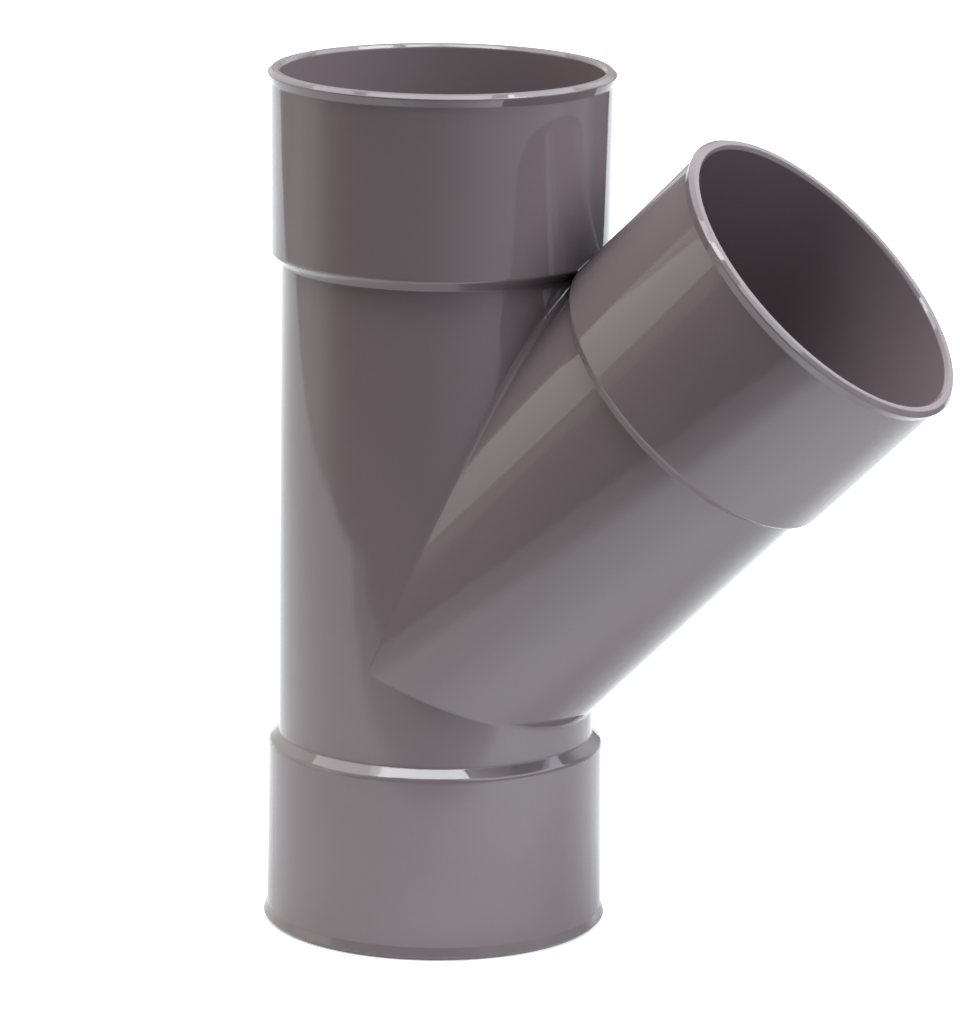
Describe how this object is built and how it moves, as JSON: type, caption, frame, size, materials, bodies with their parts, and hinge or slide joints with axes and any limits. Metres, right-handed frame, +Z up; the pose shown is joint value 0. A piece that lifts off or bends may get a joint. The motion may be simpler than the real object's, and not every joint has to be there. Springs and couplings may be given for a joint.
{
  "type": "lateral wye pipe fitting",
  "caption": "Equal drainage wye moulded in one piece: a straight run with a slanted branch, and a lipped glue socket on each end.",
  "frame": {"origin": "centre of the lower mouth's flat face, which the fitting stands on", "axes": "+Z up along the run, +X toward the side that the branch leans to, the two axes in the plane y = 0"},
  "size_m": [0.2416, 0.1188, 0.2979],
  "materials": {
    "grey_pvc": "smooth moulded rigid vinyl, warm mid grey, semi-gloss"
  },
  "bodies": {
    "root": {"wye_body": "grey_pvc"}
  },
  "joints": []
}
